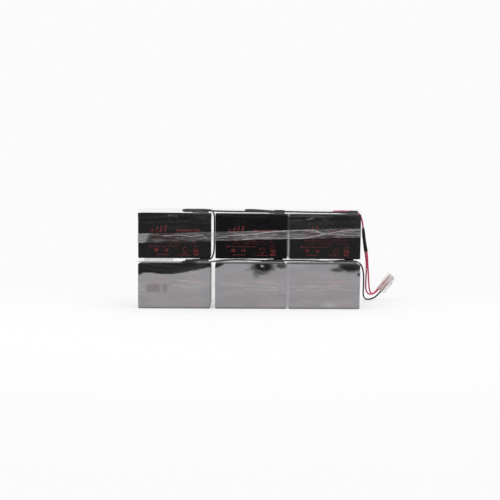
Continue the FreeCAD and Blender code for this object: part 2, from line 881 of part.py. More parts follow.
def contact(x, y):
    """A crimp barrel behind, the body that fills the cavity, and a socket pin in front."""
    places = [
        ("crimpRadius", size("wireDepth"), size("crimpLength")),
        ("contactBore", size("wireDepth") + size("crimpLength"), CONTACT_BODY),
        ("pinRadius", size("wireDepth") + size("crimpLength") + CONTACT_BODY, None),
    ]
    stack = []
    for radius, start, length in places:
        piece = bind(doc.addObject("Part::Cylinder", "ContactPart"), Radius=f"Sizes.{radius}")
        piece.Height = length or size("pinEnd") - start
        piece.Placement = at(x, y, start)
        stack.append(piece)
    made = doc.addObject("Part::MultiFuse", "Contact")
    made.Shapes = stack
    return made


CONTACT_BODY = 10.0

housing("connector_housing")
upper, lower = -size("cavityPitch") / 2, size("cavityPitch") / 2
contacts = group(
    "crimp_contacts", [contact(upper, upper), contact(upper, lower), contact(lower, upper)]
)
contacts.Placement = CONNECTOR


# ---------------------------------------------------------------------------------------------
# Check every object and write one file for each sub-part

doc.recompute()
for made in doc.Objects:
    if {"Invalid", "Error"} & set(made.State):
        raise RuntimeError(f"{made.Name} ({made.Label}) failed: {made.State}")
for made in parts:
    shape = made.Shape
    if shape.isNull() or not shape.isValid() or shape.Volume <= 0:
        raise RuntimeError(f"{made.Label} has no valid shape")

os.makedirs("parts", exist_ok=True)
for made in parts:
    made.Shape.exportStep(f"parts/{made.Label}.step")
print(f"{len(parts)} parts, {sum(len(made.Shape.Solids) for made in parts)} solids")
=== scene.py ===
"""Looks of the battery cartridge: camera, materials, free leads, film sleeves, tape bands, printed
marks, floor and light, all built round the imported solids."""

import math

import bmesh
import bpy
import numpy as np
from mathutils import Matrix, Vector, noise


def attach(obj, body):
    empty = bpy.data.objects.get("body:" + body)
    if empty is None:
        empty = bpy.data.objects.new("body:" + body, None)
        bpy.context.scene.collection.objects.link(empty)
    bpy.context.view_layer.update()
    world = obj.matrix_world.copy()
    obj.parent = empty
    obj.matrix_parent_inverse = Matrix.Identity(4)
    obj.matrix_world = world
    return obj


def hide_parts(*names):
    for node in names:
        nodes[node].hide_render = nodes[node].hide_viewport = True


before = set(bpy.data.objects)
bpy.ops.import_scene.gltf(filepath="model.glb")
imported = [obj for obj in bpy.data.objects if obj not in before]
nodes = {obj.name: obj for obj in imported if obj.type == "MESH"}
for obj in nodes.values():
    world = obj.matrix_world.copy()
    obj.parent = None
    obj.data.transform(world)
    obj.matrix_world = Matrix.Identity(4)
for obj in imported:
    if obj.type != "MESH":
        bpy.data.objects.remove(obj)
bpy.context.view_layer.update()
scene = bpy.context.scene

MM = 0.001

# ---------------------------------------------------------------------------------------------
# Sizes, in millimetres, as the solids have them

CASE_LENGTH, CASE_DEPTH, CASE_HEIGHT = 151.0, 65.0, 94.0
WIDE_GAP, NARROW_GAP = 9.5, 3.0
ROW_LENGTH = 3 * CASE_LENGTH + WIDE_GAP + NARROW_GAP
LEFT_END = {
    "left": -ROW_LENGTH / 2,
    "middle": -ROW_LENGTH / 2 + CASE_LENGTH + WIDE_GAP,
    "right": ROW_LENGTH / 2 - CASE_LENGTH,
}
BASE = {"lower": 0.0, "upper": 105.5}
WIDE_GAP_MIDDLE = LEFT_END["middle"] - WIDE_GAP / 2
NARROW_GAP_MIDDLE = LEFT_END["right"] - NARROW_GAP / 2
WIRE_DIAMETER = 3.4
CORNER_RADIUS = 4.0

# ---------------------------------------------------------------------------------------------
# Camera: a long view from in front, a little above the upper row

CAMERA_PLACE = (-35.4, -1379.2, 215.9)
# In degrees: down, to the right, and rolled with the right-hand side up
PITCH, YAW, ROLL = 3.91, 1.52, 0.48
LENS, SENSOR_WIDTH = 46.66, 36


def add_camera():
    pitch, yaw, roll = math.radians(PITCH), math.radians(YAW), math.radians(ROLL)
    forward = Vector(
        (math.sin(yaw) * math.cos(pitch), math.cos(yaw) * math.cos(pitch), -math.sin(pitch))
    )
    level = Vector((math.cos(yaw), -math.sin(yaw), 0))
    up = level.cross(forward)
    right = level * math.cos(roll) + up * math.sin(roll)
    up = up * math.cos(roll) - level * math.sin(roll)
    data = bpy.data.cameras.new("front_view")
    data.sensor_width = SENSOR_WIDTH
    data.lens = LENS
    camera = bpy.data.objects.new("front_view", data)
    turn = Matrix((right, up, -forward)).transposed().to_4x4()
    camera.matrix_world = Matrix.Translation([c * MM for c in CAMERA_PLACE]) @ turn
    scene.collection.objects.link(camera)
    scene.camera = camera


add_camera()

# ---------------------------------------------------------------------------------------------
# Shader maths


class Value:
    """A shader socket that takes part in sums and products."""

    def __init__(self, shader, socket):
        self.shader, self.socket = shader, socket

    def with_other(self, operation, other, clamp=False):
        settings = {"operation": operation, "use_clamp": clamp}
        return self.shader.node("ShaderNodeMath", settings, {0: self, 1: other})

    def __add__(self, other):
        return self.with_other("ADD", other)

    def __mul__(self, other):
        return self.with_other("MULTIPLY", other)

    __radd__, __rmul__ = __add__, __mul__

    def clamped(self):
        return self.with_other("ADD", 0.0, clamp=True)

    def step(self, low, high):
        """0 below low, 1 above high, and smooth between them."""
        settings = {"interpolation_type": "SMOOTHSTEP"}
        return self.shader.node(
            "ShaderNodeMapRange", settings, {"Value": self, "From Min": low, "From Max": high}
        )


class Shader:
    """One material's node tree, ending in its surface."""

    def __init__(self, name):
        self.material = bpy.data.materials.new(name)
        self.material.use_nodes = True
        self.tree = self.material.node_tree
        self.tree.nodes.clear()
        self.output = self.tree.nodes.new("ShaderNodeOutputMaterial")

    def node(self, kind, settings=None, sockets=None, out=0):
        """Makes one node: first its settings, then the values or links of its sockets."""
        made = self.tree.nodes.new(kind)
        for key, value in (settings or {}).items():
            setattr(made, key, value)
        for key, value in (sockets or {}).items():
            if isinstance(value, Value):
                self.tree.links.new(value.socket, made.inputs[key])
            else:
                made.inputs[key].default_value = value
        return Value(self, made.outputs[out])

    def place(self, scale=(1, 1, 1)):
        """Object coordinates, in metres, scaled."""
        point = self.node("ShaderNodeTexCoord", out="Object")
        return self.node("ShaderNodeMapping", None, {"Vector": point, "Scale": scale})

    def noise(self, scale, detail=3.0, distortion=0.0, place=None):
        sockets = {
            "Vector": place or self.place(),
            "Scale": scale,
            "Detail": detail,
            "Roughness": 0.55,
            "Distortion": distortion,
        }
        return self.node("ShaderNodeTexNoise", None, sockets)

    def attribute(self, name):
        return self.node("ShaderNodeAttribute", {"attribute_name": name}, out="Fac")

    def blend(self, share, first, second):
        """A colour between two, by a share."""
        colours = [c if isinstance(c, Value) else (*c, 1) for c in (first, second)]
        sockets = {0: share, 6: colours[0], 7: colours[1]}
        return self.node("ShaderNodeMix", {"data_type": "RGBA"}, sockets, out=2)

    def bump(self, height, strength, distance):
        sockets = {"Height": height, "Strength": strength, "Distance": distance}
        return self.node("ShaderNodeBump", None, sockets)

    def surface(self, **sockets):
        """Ends the tree in a Principled surface. Underscores in the names stand for spaces."""
        named = {}
        for key, value in sockets.items():
            if isinstance(value, tuple) and key.endswith("Color"):
                value = (*value, 1)
            named[key.replace("_", " ")] = value
        made = self.node("ShaderNodeBsdfPrincipled", None, named)
        self.tree.links.new(made.socket, self.output.inputs["Surface"])
        return self.material


def case_plastic(name, tone, grain):
    """Moulded black plastic with a fine grain, an uneven tone and faint rubbed patches."""
    shader = Shader(name)
    fine = shader.noise(1400, detail=2)
    broad = shader.noise(14, detail=4)
    rubbed = shader.noise(60, detail=6, place=shader.place((1, 1, 0.35))).step(0.55, 0.8)
    colour = shader.blend(broad, tuple(c * 0.8 for c in tone), tuple(c * 1.25 for c in tone))
    colour = shader.blend(rubbed * 0.2, colour, (0.035, 0.034, 0.037))
    return shader.surface(
        Base_Color=colour,
        Roughness=0.5 + 0.16 * broad + 0.08 * rubbed,
        Specular_IOR_Level=0.06,
        Normal=shader.bump(fine, grain, 0.0004),
    )


def resin(name, tone):
    """Poured compound: glossy, with slow ripples."""
    shader = Shader(name)
    ripple = shader.noise(420, detail=2)
    return shader.surface(
        Base_Color=shader.blend(ripple, tone, tuple(c * 0.55 for c in tone)),
        Roughness=0.18 + 0.2 * ripple,
        Normal=shader.bump(ripple, 0.5, 0.0006),
    )


def metal(name, tone, dull):
    """Stamped metal with fine drawn lines and dull stains."""
    shader = Shader(name)
    drawn = shader.noise(900, detail=3, place=shader.place((0.1, 1, 1)))
    stain = shader.noise(260, detail=4).step(0.45, 0.75)
    return shader.surface(
        Base_Color=shader.blend(stain * 0.6, tone, tuple(c * 0.6 for c in tone)),
        Metallic=1.0,
        Roughness=dull + 0.2 * drawn + 0.15 * stain,
        Normal=shader.bump(drawn, 0.25, 0.0002),
    )


def rubber(name, tone, sheen, rough=0.45, grain=0.3):
    """Soft vinyl or insulation: satin, with faint waves and handling marks, at which a lighter
    sheen colour is painted in.
    """
    shader = Shader(name)
    wave = shader.noise(180, detail=3)
    marks = shader.noise(520, detail=5).step(0.55, 0.75)
    return shader.surface(
        # Painted sheen: at the handling marks the colour goes part way to the lighter sheen colour
        Base_Color=shader.blend(marks * 0.35, tone, sheen),
        Roughness=rough + 0.18 * wave,
        Specular_IOR_Level=0.25,
        Coat_Weight=0.04,
        Coat_Roughness=0.35,
        Normal=shader.bump(wave + 0.4 * marks, grain, 0.0005),
    )


def foam(name):
    """Thin-celled foam: pale, matt and pitted, and it lets much of the light behind it through."""
    shader = Shader(name)
    cells = shader.node(
        "ShaderNodeTexVoronoi", {"feature": "F1"}, {"Vector": shader.place(), "Scale": 900}
    )
    broad = shader.noise(60)
    return shader.surface(
        Base_Color=shader.blend(broad, (0.86, 0.85, 0.87), (0.95, 0.94, 0.95)),
        Roughness=0.9,
        Alpha=0.14 + 0.06 * broad,
        Normal=shader.bump(cells, 0.5, 0.0005),
    )


def clear_plastic(name, tone, gloss, scale):
    """Clear film or tape. Its own per-point attribute says how milky each place is, and holds
    painted reflection and painted highlights too; fine streaks and crazing break it up."""
    shader = Shader(name)
    # Milkiness, which also carries painted reflection and painted highlights
    haze_and_painted_light = shader.attribute("haze_and_painted_light")
    streak = shader.noise(scale, detail=5, distortion=0.6, place=shader.place((0.25, 0.25, 1)))
    craze = shader.noise(scale * 3, detail=4, distortion=1.2)
    return shader.surface(
        Base_Color=shader.blend(craze, tone, tuple(c * 0.92 for c in tone)),
        Roughness=gloss + 0.15 * craze,
        Specular_IOR_Level=0.3,
        Alpha=(haze_and_painted_light * (0.8 + 0.4 * streak)).clamped(),
        Normal=shader.bump(streak + 0.3 * craze, 0.35, 0.0006),
    )


def nylon(name):
    """Natural nylon, thin enough for the leads inside to show as pale stripes."""
    shader = Shader(name)
    cloud = shader.noise(220, detail=3)
    return shader.surface(
        Base_Color=shader.blend(cloud, (0.95, 0.935, 0.935), (1.0, 0.99, 0.99)),
        Roughness=0.3 + 0.2 * cloud,
        Subsurface_Weight=0.5,
        Subsurface_Radius=(0.004, 0.004, 0.004),
        Alpha=0.27 + 0.08 * cloud,
        Normal=shader.bump(cloud, 0.2, 0.0004),
    )


def ink(name, thin, thick):
    """Red screen print, thin and worn in places."""
    shader = Shader(name)
    worn = shader.noise(700, detail=5).step(0.38, 0.62)
    patch = shader.noise(90, detail=3)
    return shader.surface(
        Base_Color=shader.blend(patch, thin, thick),
        Roughness=0.5 + 0.2 * patch,
        Alpha=0.3 + 0.6 * worn,
    )


finishes = {
    # One black plastic twice: the lighter copy has the film's sheen painted into its tone, and the
    # darker copy, for the upper row's middle battery, is its painted shade
    "case": case_plastic("battery_case_black_painted_sheen", (0.0185, 0.0175, 0.0185), 0.05),
    "case_painted_shade": case_plastic("battery_case_painted_shade", (0.0065, 0.0065, 0.0075), 0.05),
    "vent": case_plastic("vent_plate_black", (0.011, 0.011, 0.012), 0.12),
    "tin": metal("tinned_blade", (0.72, 0.7, 0.67), 0.22),
    "stamped": metal("tinned_receptacle", (0.66, 0.63, 0.58), 0.3),
    "contact": metal("coppery_contact", (0.88, 0.44, 0.45), 0.35),
    "seal_black": resin("black_sealing_resin", (0.02, 0.02, 0.02)),
    "seal_red": resin("red_sealing_resin", (0.42, 0.03, 0.02)),
    "boot": rubber("black_vinyl_boot", (0.008, 0.008, 0.01), (0.03, 0.03, 0.034)),
    "wire_black": rubber("black_insulation", (0.007, 0.007, 0.011), (0.025, 0.025, 0.036)),
    "wire_red": rubber("red_insulation", (0.84, 0.085, 0.2), (0.88, 0.22, 0.33), rough=0.4),
    "shrink": rubber("black_heat_shrink", (0.005, 0.005, 0.006), (0.016, 0.016, 0.018), 0.4, 0.6),
    "foam": foam("pale_closed_cell_foam"),
    "film": clear_plastic("clear_shrink_film", (0.885, 0.86, 0.89), 0.28, 60),
    "tape": clear_plastic("clear_packing_tape", (0.9, 0.875, 0.895), 0.3, 120),
    "nylon": nylon("natural_nylon"),
    # The same red print in two copies: darker for the upper row, much brighter for the lower row
    "ink": ink("darker_red_ink", (0.17, 0.016, 0.018), (0.32, 0.028, 0.03)),
    "brighter_ink": ink("brighter_red_ink", (0.85, 0.05, 0.05), (1.0, 0.08, 0.08)),
}

# How a solid's name starts, and its finish: the first line that fits a name holds for it
SOLID_FINISHES = [
    # The upper row's middle battery takes the darker copy, the plastic's painted shade
    ("container_upper_middle", "case_painted_shade"),
    ("lid_upper_middle", "case_painted_shade"),
    ("container_", "case"),
    ("lid_", "case"),
    ("vent_cover_", "vent"),
    ("negative_terminal_seals", "seal_black"),
    ("positive_terminal_seals", "seal_red"),
    ("negative_terminal_", "tin"),
    ("positive_terminal_", "tin"),
    ("flag_receptacles_", "stamped"),
    ("terminal_boots_", "boot"),
    ("spacer_pad_", "foam"),
    ("link_", "wire_black"),
    ("row_link_", "wire_black"),
    ("heat_shrink_sleeve", "shrink"),
    ("connector_housing", "nylon"),
    ("crimp_contacts", "contact"),
]


def dress_solids():
    """Gives each solid its finish. Leads, film and tape get none, as they are replaced below."""
    for node, solid in nodes.items():
        finish = next((f for start, f in SOLID_FINISHES if node.startswith(start)), None)
        if finish:
            for slot in solid.material_slots:
                slot.material = finishes[finish]


dress_solids()

# ---------------------------------------------------------------------------------------------
# Free leads, each one smooth spline along the solids' routes


def lead(name, node, route, finish):
    """A round lead whose spline has the route's points as its control points."""
    data = bpy.data.curves.new(name, "CURVE")
    data.dimensions = "3D"
    data.bevel_depth = WIRE_DIAMETER / 2 * MM
    data.bevel_resolution = 5
    data.resolution_u = 10
    data.use_fill_caps = True
    spline = data.splines.new("NURBS")
    spline.points.add(len(route) - 1)
    for point, place in zip(spline.points, route):
        point.co = (*(c * MM for c in place), 1)
    spline.order_u = 3
    spline.use_endpoint_u = True
    data.materials.append(finishes[finish])
    made = bpy.data.objects.new(name, data)
    scene.collection.objects.link(made)
    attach(made, "root")
    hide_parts(node)
    return made


# Each lead's control points, in millimetres, from where it leaves its barrel or sleeve
ROUTES = {
    "positive_wire": [
        (208.75, 20, 203.3), (198.5, 20, 203.3), (190, 20, 203.35), (183, 17.4, 203.9),
        (179.2, 10.8, 204.8), (181, 3.2, 205.6), (188, -1.6, 205.8), (198, -2.4, 206.1),
        (210, 0, 205.7), (220, 4.4, 205.8), (229.4, 7.8, 204.9), (236.8, 8.6, 199.4),
        (240.6, 7.6, 190.6), (243.17, 8.12, 179.67), (244.9, 10, 170),
    ],
    "red_lead_front": [
        (252.33, 20, 118.28), (254.23, 22.07, 107.65), (258, 31.5, 91.4), (260.7, 43.5, 70.3),
        (263, 58, 49.7), (265.6, 71.5, 33.6), (270.2, 83.5, 21.9), (278.2, 92.5, 15),
        (287.5, 99.5, 14.8), (296.42, 104.4, 17.99), (306.16, 104.4, 29.4),
    ],
    "red_lead_rear": [
        (255.87, 20, 118.92), (257.78, 22.07, 108.28), (261.1, 33.5, 92.4), (266.4, 50.5, 71.2),
        (271.4, 68, 50.8), (275.8, 84, 33.9), (280.4, 97, 22.4), (285.9, 105.3, 15.5),
        (290.6, 109.3, 14.8), (295.77, 111.6, 17.23), (306.16, 111.6, 29.4),
    ],
    "black_lead": [
        (208.75, -20, 97.8), (198.5, -20, 97.8), (190, -20, 97.85), (183.2, -17.2, 98.2),
        (179.4, -10.8, 98.8), (181, -3.4, 99.3), (187.6, 1.4, 99.6), (198, 2.4, 99.7),
        (211, 1.4, 99.6), (222, 0.2, 99.4), (231.5, -0.2, 97.6), (239.6, 1, 92.4),
        (244.6, 5.6, 83.6), (249.2, 16, 68.7), (252.7, 32, 51.3), (256.5, 51, 34.8),
        (259.7, 70, 20.1), (265.4, 87, 8.5), (272.5, 99.6, 2.4), (283.6, 104.2, 2),
        (293.9, 104.4, 6.2), (302.54, 104.4, 14.08), (311.63, 104.4, 24.72),
    ],
}
CONNECTOR = ("connector", ["connector_housing", "crimp_contacts"])
# Each lead's finish and length, and what its far end is and carries
LEADS = {
    "positive_wire": ("wire_red", 132.3, ("fitting", ["heat_shrink_sleeve"])),
    "red_lead_front": ("wire_red", 168.6, CONNECTOR),
    "red_lead_rear": ("wire_red", 167.3, CONNECTOR),
    "black_lead": ("wire_black", 290.0, CONNECTOR),
}


def add_leads():
    for node, (finish, length, (far_end, carried)) in LEADS.items():
        route = ROUTES[node]
        lead(f"{node}_insulation", node, route, finish)


add_leads()

# ---------------------------------------------------------------------------------------------
# What film and tape share: smooth steps, noise, creases and a closed band of quads

# How far in front of a row's middle the front wall's look begins and is full
FRONT_FROM, FRONT_TO = 28, 31
# Added to the distance of places past a line's ends, so that the line stops there
OFF_THE_END = 50


def smooth_step(value, low, high):
    share = np.clip((np.asarray(value, float) - low) / (high - low), 0, 1)
    return share * share * (3 - 2 * share)


def bell(value, middle, half_width):
    """1 at the middle, and soon 0 past the half width."""
    return np.exp(-(((value - middle) / half_width) ** 2))


def on_front(y):
    """1 on the front wall, 0 on the others."""
    return smooth_step(-y, FRONT_FROM, FRONT_TO)


def on_line(line, x, level, half_width):
    """1 along a line of (x, level) pairs, and soon 0 past its half width and its ends."""
    at, levels = zip(*line)
    beyond = (x < at[0]) | (x > at[-1])
    away = np.abs(level - np.interp(x, at, levels)) + OFF_THE_END * beyond
    return bell(away, 0, half_width)


def field(points, scale, seed):
    """Smooth noise from -1 to 1 at each point, in millimetres, with its own stretch and seed."""
    stretch = np.asarray(scale, float)
    shift = Vector((seed * 17.3, seed * 5.1, seed * 9.7))
    return np.array([noise.noise(Vector(p) + shift) for p in points * stretch])


def ridges(points, scale, seed):
    """Thin crests from 0 to 1, as creased film has."""
    return (1 - np.abs(field(points, scale, seed))) ** 6


def loop_round(columns, grow):
    """Points round a row's walls, grown outwards, with their normals and the inner corner that
    each turns about. It starts at the middle of the back and runs clockwise from above."""
    half_x = ROW_LENGTH / 2 + grow
    half_y = CASE_DEPTH / 2 + grow
    radius = CORNER_RADIUS + grow
    core_x, core_y = half_x - radius, half_y - radius
    straight = [core_x, 2 * core_y, 2 * core_x, 2 * core_y, core_x]
    bend = math.pi / 2 * radius
    total = sum(straight) + 4 * bend
    starts = [
        ((0, core_y), (1, 0), (0, 1)),
        ((core_x, core_y), (0, -1), (1, 0)),
        ((core_x, -core_y), (-1, 0), (0, -1)),
        ((-core_x, -core_y), (0, 1), (-1, 0)),
        ((-core_x, core_y), (1, 0), (0, 1)),
    ]
    cores, normals = [], []
    for column in range(columns):
        along = total * column / columns
        for side, (start, heading, normal) in enumerate(starts):
            if along <= straight[side] or side == 4:
                cores.append((start[0] + heading[0] * along, start[1] + heading[1] * along))
                normals.append(normal)
                break
            along -= straight[side]
            if along <= bend:
                corner, _, next_normal = starts[side + 1]
                old, new = math.cos(along / radius), math.sin(along / radius)
                cores.append(corner)
                normals.append([old * a + new * b for a, b in zip(normal, next_normal)])
                break
            along -= bend
    return np.array(cores), np.array(normals), radius, total


def mesh_piece(name, points, faces, finish, haze_and_painted_light):
    """A mesh object from places in millimetres, with its milkiness attribute, which holds painted
    light too, and its finish.
    """
    data = bpy.data.meshes.new(name)
    data.from_pydata([tuple(p) for p in np.asarray(points) * MM], [], faces)
    layer = data.attributes.new("haze_and_painted_light", "FLOAT", "POINT")
    layer.data.foreach_set("value", np.asarray(haze_and_painted_light, np.float32))
    form = bmesh.new()
    form.from_mesh(data)
    bmesh.ops.remove_doubles(form, verts=form.verts, dist=1e-6)
    form.to_mesh(data)
    form.free()
    data.shade_smooth()
    data.materials.append(finishes[finish])
    made = bpy.data.objects.new(name, data)
    scene.collection.objects.link(made)
    return made


def band_faces(columns, rows):
    """Quads of a closed band, with outward faces for a loop that runs clockwise from above."""
    faces = []
    for column in range(columns):
        right = (column + 1) % columns
        for row in range(rows - 1):
            a, b = column * rows + row, right * rows + row
            faces.append((a, a + 1, b + 1, b))
    return faces


# ---------------------------------------------------------------------------------------------
# Film sleeves

FILM_COLUMNS = 430
FILM_WALL = 0.2
FILM_BOTTOM, FILM_TOP = 1.0, 104.3
RIM_RADIUS, LIP = 3.8, 6.6
WALL_POINTS, RIM_POINTS, LIP_POINTS = 46, 8, 4
# How deep the film dips into the wider gap, and half the dip's length
DIP_DEPTH, DIP_HALF = 1.6, 3.2
LEAST_HAZE, MOST_HAZE = 0.002, 0.9
# Half lengths of the milky bridges over the two gaps, partly a painted highlight of the film there
NARROW_BRIDGE, WIDE_BRIDGE = 1.6, 4.5
# Heights between which the narrower bridge clears, and between which it turns milky again
UPPER_BRIDGE_CLEARS, UPPER_BRIDGE_CLOUDS = (46, 54), (88.5, 90.5)
LOWER_BRIDGE_CLEARS = (50, 58)
# Painted highlights, as milky lines on the front over the lids: strength, height, half width, and
# the two x between which each one fades in or out along the left-hand battery
UPPER_HIGHLIGHT = (0.5, 95.0, 0.9, -118, -104)
LOWER_HIGHLIGHT = (0.6, 97.6, 1.0, -118, -104)
LOWER_LEFT_HIGHLIGHT = (1.1, 98.7, 1.4, -138, -152)
# Painted highlights on the upper row's front: how milky each glint is, and the (x, height) along it
GLINTS = [
    (0.2, [(-170, 89), (-162, 88.7), (-152, 87.8)]),
    (0.34, [(119, 82.6), (125, 84.2), (133, 86.4)]),
    (0.12, [(84, 79.4), (100, 81), (116, 81.8)]),
    (0.14, [(84, 88.6), (130, 89.2), (176, 88.4)]),
    (0.05, [(-60, 88.2), (-20, 88.6), (30, 88)]),
]
# The lower row's milky front is a painted reflection of the pale floor: how milky it is, what a
# thin patch takes off it and what a crease adds
FLOOR_REFLECTION, THINNED, CREASED = 0.56, 0.17, 0.16
# Its milkier spot of painted reflection at the foot: middle x and height, half length and half
# height, what it adds
FOOT_SPOT = (168, 9, 13, 5, 0.2)
# (x, height) along the edge of the painted reflection on the lower row's front, which is clear
# above it
VEIL_EDGE = [
    (-233, 69), (-219, 75.3), (-202, 74.4), (-182, 72.2), (-163, 72.2), (-142, 75.3),
    (-122, 79), (-104, 82.5), (-90, 86), (-66, 87.5), (-57, 91), (-48, 99),
]
# The height that the painted reflection's edge waves about on the other walls
OTHER_EDGE = 82
# Clear patches in the painted reflection on the front: middle x and height, half length and half
# height, clearness
CLEAR_PATCHES = [
    (27.5, 88.5, 26, 11.5, 1.0),
    (24, 79, 20, 8, 0.7),
    (14, 74, 7, 10, 0.45),
    (0, 82, 12, 3, 0.35),
    (66, 91, 11.5, 5.5, 0.85),
    (213, 90, 31, 12, 1.0),
    (184, 83, 16, 4.5, 0.8),
    (229.5, 73.5, 4, 4, 0.9),
]
# A spot of painted reflection in the first clear patch: middle x and height, half length and half
# height
MILKY_SPOT = (26, 90.5, 4, 2.6)
# Where the painted reflection on the front is thinner: left, right, low and high
THIN_PATCHES = [(-216, -187, 34, 51.5), (-181, -172, 34, 51.5)]
# (x, height) along each faint crease in the painted reflection on the front
VEIL_CREASES = [
    [(-150, 60), (-120, 57), (-95, 52), (-84, 53)],
    [(-160, 50), (-128, 46), (-100, 47)],
    [(-60, 54), (-20, 50), (20, 48), (70, 44), (78, 42)],
    [(10, 56), (50, 55), (72, 49)],
    [(-10, 43), (24, 40), (60, 41)],
    [(84, 47), (110, 49), (150, 46), (190, 50)],
    [(100, 41), (140, 39), (170, 43), (228, 40)],
]
# For each row, where its film is cut away at the right-hand end: low y, high y and height
NOTCHES = {"upper": (2.0, 16.0, 92.0), "lower": (-7.5, 6.5, 92.0)}


def film_profile():
    """The film's (distance inwards, height) pairs, from its lower edge over the rim to the lip."""
    wall = [(0.0, z) for z in np.linspace(FILM_BOTTOM, FILM_TOP - RIM_RADIUS, WALL_POINTS)]
    rim = [
        (RIM_RADIUS * (1 - math.cos(a)), FILM_TOP - RIM_RADIUS * (1 - math.sin(a)))
        for a in np.linspace(0, math.pi / 2, RIM_POINTS)[1:]
    ]
    lip = [(d, FILM_TOP) for d in np.linspace(RIM_RADIUS, LIP, LIP_POINTS)[1:]]
    return np.array(wall + rim + lip)


def clear_window(points, x, z):
    """How far each place of the lower row's front film is out of its milky part, the painted
    reflection, from 0 to 1.
    """
    edge = np.interp(x, *zip(*VEIL_EDGE)) + 0.8 * field(points, (0.08, 0.0, 0.08), 41)
    clear = smooth_step(z, edge - 1.2, edge + 1.2)
    ragged = 0.2 * field(points, (0.09, 0.0, 0.12), 42)
    for middle_x, middle_z, half_x, half_z, clearness in CLEAR_PATCHES:
        away = np.hypot((x - middle_x) / half_x, (z - middle_z) / half_z) + ragged
        clear = np.maximum(clear, clearness * (1 - smooth_step(away, 0.5, 1.35)))
    middle_x, middle_z, half_x, half_z = MILKY_SPOT
    spot = np.hypot((x - middle_x) / half_x, (z - middle_z) / half_z)
    return clear * smooth_step(spot, 0.6, 1.1)


def narrow_gap(x, z):
    """1 where the film bridges the narrower gap, up to the lids."""
    return bell(x, NARROW_GAP_MIDDLE, NARROW_BRIDGE) * (z < CASE_HEIGHT)


def wide_gap(x):
    """1 where the film bridges the wider gap."""
    return np.exp(-(((x - WIDE_GAP_MIDDLE) / WIDE_BRIDGE) ** 4))


def highlight_line(line, x, z, front):
    """A painted highlight: a milky line along the front, from where it has faded in to the end of
    the row.
    """
    strength, height, half_width, faint_x, full_x = line
    return strength * bell(z, height, half_width) * front * smooth_step(x, faint_x, full_x)


def upper_haze_and_painted_highlights(x, z, front):
    """What makes the clear upper film milky: its bridges, partly painted highlight, and painted
    highlights: a light line over the lids, and glints.
    """
    # The bridge over the narrower gap: film, and partly a painted highlight on it
    bridge = 0.1 + 0.6 * (1 - smooth_step(z, *UPPER_BRIDGE_CLEARS))
    bridge += 0.6 * smooth_step(z, *UPPER_BRIDGE_CLOUDS)
    haze_and_painted_light = bridge * narrow_gap(x, z) + 0.05 * wide_gap(x) * front
    # Painted highlight over the lids
    haze_and_painted_light += highlight_line(UPPER_HIGHLIGHT, x, z, front)
    # Painted glints on the creased film
    for strength, line in GLINTS:
        haze_and_painted_light += strength * front * on_line(line, x, z, 0.9)
    return haze_and_painted_light


def floor_reflection_strength(points, x, z, front):
    """The painted reflection of the pale floor in the lower film: how milky it is below its wavy
    edge.
    """
    veil = FLOOR_REFLECTION + 0.025 * field(points, (0.02, 0.02, 0.05), 5)
    for left, right, low, high in THIN_PATCHES:
        inside = smooth_step(x, left - 4, left + 4) * (1 - smooth_step(x, right - 3, right + 3))
        inside *= smooth_step(z, low - 3, low + 3) * (1 - smooth_step(z, high - 3, high + 3))
        veil -= THINNED * inside * front
    middle_x, middle_z, half_x, half_z, added = FOOT_SPOT
    veil += added * bell(x, middle_x, half_x) * bell(z, middle_z, half_z) * front
    for line in VEIL_CREASES:
        veil += CREASED * front * on_line(line, x, z, 1.1)
    veil *= 1 - 0.35 * (1 - smooth_step(z, 2.5, 5))
    return veil * (1 - 0.85 * wide_gap(x))


def lower_painted_reflection_and_highlights(points, x, z, front):
    """The lower film's milky part, which is a painted reflection of the pale floor, its bridge over
    the narrower gap, partly a painted highlight, and its painted highlight lines.
    """
    wave = OTHER_EDGE + 7 * field(points, (0.012, 0.02, 0.0), 8)
    wave += 3 * field(points, (0.05, 0.05, 0.0), 9)
    elsewhere = smooth_step(z, wave - 1.2, wave + 1.2)
    clear = front * clear_window(points, x, z) + (1 - front) * elsewhere
    # Painted reflection of the pale floor, as milkiness outside the clear windows and below the
    # wavy edge
    haze_and_painted_light = (1 - clear) * floor_reflection_strength(points, x, z, front) * (z < CASE_HEIGHT + 1)
    # The bridge over the narrower gap, partly a painted highlight
    bridge = 0.1 + 0.14 * (1 - smooth_step(z, *LOWER_BRIDGE_CLEARS))
    haze_and_painted_light += bridge * narrow_gap(x, z) * front
    # Painted highlights over the lids
    haze_and_painted_light += highlight_line(LOWER_HIGHLIGHT, x, z, front)
    return haze_and_painted_light + highlight_line(LOWER_LEFT_HIGHLIGHT, x, z, front)


def film_haze_and_painted_light(row, points, inwards):
    """How milky the film is: thin on the walls, least of all in front of the middle battery, to
    keep its painted shade, denser at its lip, and with what its own row adds, which is mostly
    painted light."""
    x, y, z = points[:, 0], points[:, 1], points[:, 2] - BASE[row]
    front = on_front(y)
    middle = smooth_step(x, LEFT_END["middle"] - 2, LEFT_END["middle"] + 2)
    middle *= 1 - smooth_step(x, LEFT_END["right"] - 4, LEFT_END["right"])
    haze_and_painted_light = 0.004 + 0.004 * field(points, (0.012, 0.012, 0.03), 3)
    haze_and_painted_light += 0.04 * ridges(points, (0.012, 0.012, 0.09), 4) * smooth_step(z, 40, 92)
    # Less in front of the middle battery, which keeps its painted shade
    haze_and_painted_light *= 1 - 0.75 * middle * front
    haze_and_painted_light += 0.05 * smooth_step(z, 94, 97) + 0.3 * smooth_step(inwards, LIP - 1.2, LIP)
    own = upper_haze_and_painted_highlights(x, z, front) if row == "upper" else lower_painted_reflection_and_highlights(points, x, z, front)
    return np.clip(haze_and_painted_light + own, LEAST_HAZE, MOST_HAZE)


